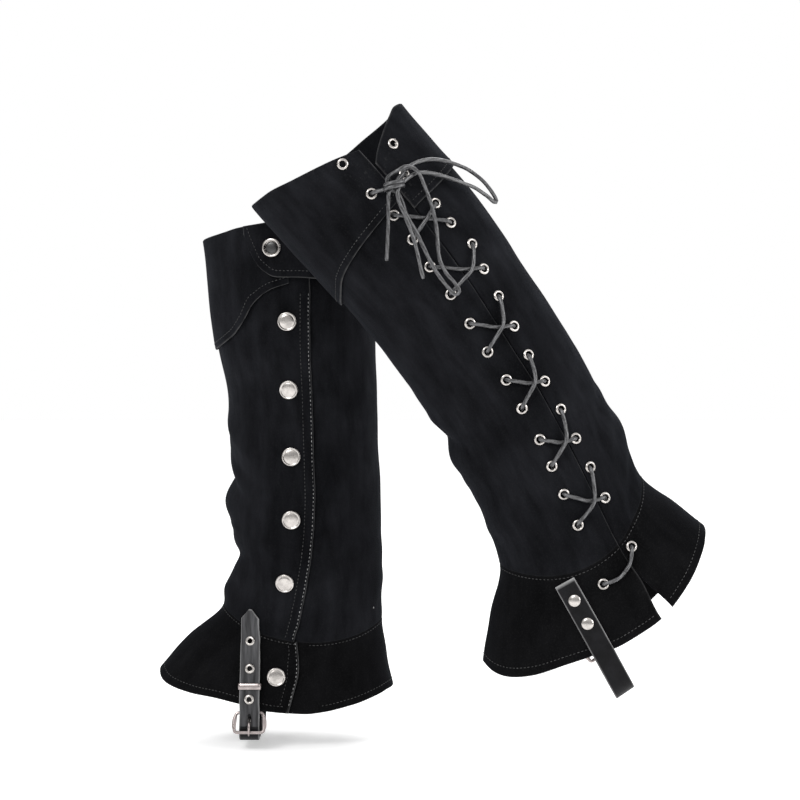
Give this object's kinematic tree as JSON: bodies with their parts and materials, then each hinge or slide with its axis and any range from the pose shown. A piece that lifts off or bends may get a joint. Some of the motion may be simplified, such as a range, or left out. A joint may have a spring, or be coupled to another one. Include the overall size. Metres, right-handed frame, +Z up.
{
  "type": "pair of boot covers",
  "caption": "Pair of suede boot covers, worn and empty: laced outer side, snapped inner side, folded cuffs, spats and buckled straps under the arch.",
  "frame": {"origin": "centre of the right (standing) cover's top opening, where the leg holds it up", "axes": "+Z up, -X the way the wearer walks, +Y from the left cover to the right cover"},
  "size_m": [0.4779, 0.3421, 0.5611],
  "materials": {
    "suede": "matte suede nap",
    "smooth_leather": "semi-gloss",
    "nickel": "nickel plate",
    "lace_cord": "matte round cord"
  },
  "bodies": {
    "root": {"right_leg_front": "suede", "right_leg_back": "suede", "right_spat_front": "suede", "right_spat_back": "suede", "right_cuff_front": "suede", "right_cuff_back": "suede", "right_strap": "smooth_leather", "right_chape": "smooth_leather", "right_buckle_frame": "nickel", "right_buckle_prong": "nickel", "right_keeper": "nickel", "right_rivet_1": "nickel", "right_rivet_2": "nickel", "right_snap_1": "nickel", "right_snap_2": "nickel", "right_snap_3": "nickel", "right_snap_4": "nickel", "right_snap_5": "nickel", "right_snap_6": "nickel", "right_snap_7": "nickel", "right_lace_a": "lace_cord", "right_lace_b": "lace_cord", "left_leg_front": "suede", "left_leg_back": "suede", "left_spat_front": "suede", "left_spat_back": "suede", "left_cuff_front": "suede", "left_cuff_back": "suede", "left_strap": "smooth_leather", "left_chape": "smooth_leather", "left_buckle_frame": "nickel", "left_buckle_prong": "nickel", "left_keeper": "nickel", "left_rivet_1": "nickel", "left_rivet_2": "nickel", "left_snap_1": "nickel", "left_snap_2": "nickel", "left_snap_3": "nickel", "left_snap_4": "nickel", "left_snap_5": "nickel", "left_snap_6": "nickel", "left_snap_7": "nickel", "left_lace_a": "lace_cord", "left_lace_b": "lace_cord"}
  },
  "joints": []
}
